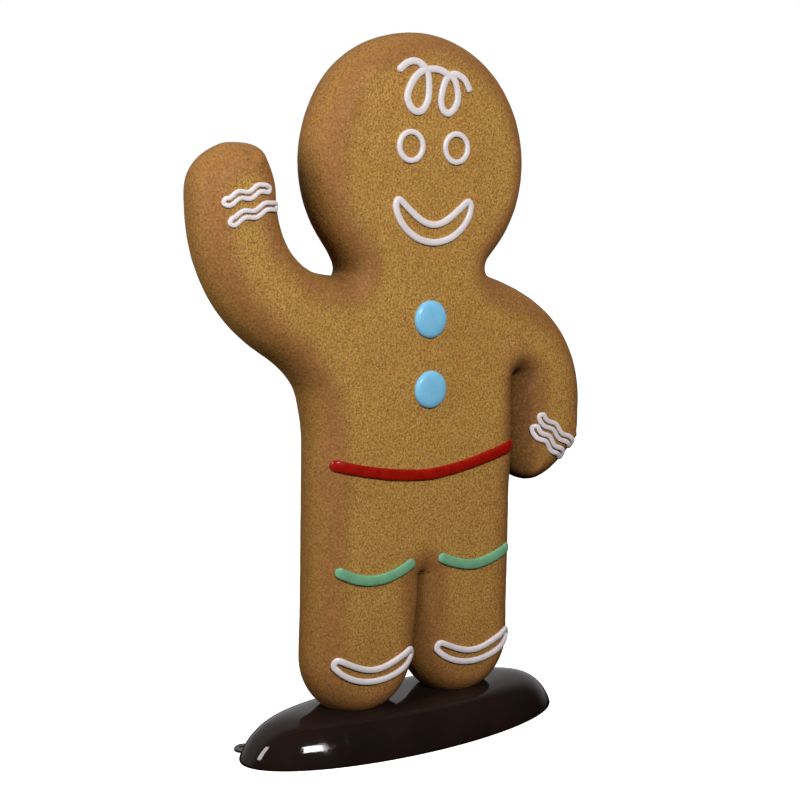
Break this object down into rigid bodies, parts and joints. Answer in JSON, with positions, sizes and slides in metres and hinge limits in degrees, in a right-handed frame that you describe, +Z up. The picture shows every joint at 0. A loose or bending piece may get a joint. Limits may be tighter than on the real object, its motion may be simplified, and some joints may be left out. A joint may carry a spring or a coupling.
{
  "type": "gingerbread man display figure",
  "caption": "Large standing gingerbread man display figure with piped-icing face, buttons and trim, one arm raised to wave, on a low domed base with fixing tabs.",
  "frame": {"origin": "centre of the base's flat underside, on the floor", "axes": "+Z up, the figure faces -Y, +X to the right as the figure is seen from the front, so the waving arm is on -X"},
  "size_m": [1.1714, 0.36, 1.8],
  "materials": {
    "gingerbread_finish": "fine stippled crumb texture sprayed golden brown, redder brown on the edges, satin-matt",
    "white_icing": "glossy off-white, raised like piped icing",
    "blue_icing": "glossy sky blue, low dome",
    "red_icing": "glossy deep red, raised like piped icing",
    "green_icing": "glossy mint green, raised like piped icing",
    "base_gloss": "smooth, very dark brown, high gloss",
    "lug_steel": "dull dark steel"
  },
  "bodies": {
    "root": {"ankle_icing_left": "white_icing", "ankle_icing_right": "white_icing", "base": "base_gloss", "belt": "red_icing", "button_lower": "blue_icing", "button_upper": "blue_icing", "eye_left": "white_icing", "eye_right": "white_icing", "fixing_lug_left": "lug_steel", "fixing_lug_right": "lug_steel", "gingerbread_body": "gingerbread_finish", "hair": "white_icing", "knee_line_left": "green_icing", "knee_line_right": "green_icing", "lowered_wrist_icing_lower": "white_icing", "lowered_wrist_icing_upper": "white_icing", "mouth": "white_icing", "raised_wrist_icing_lower": "white_icing", "raised_wrist_icing_upper": "white_icing"}
  },
  "joints": []
}
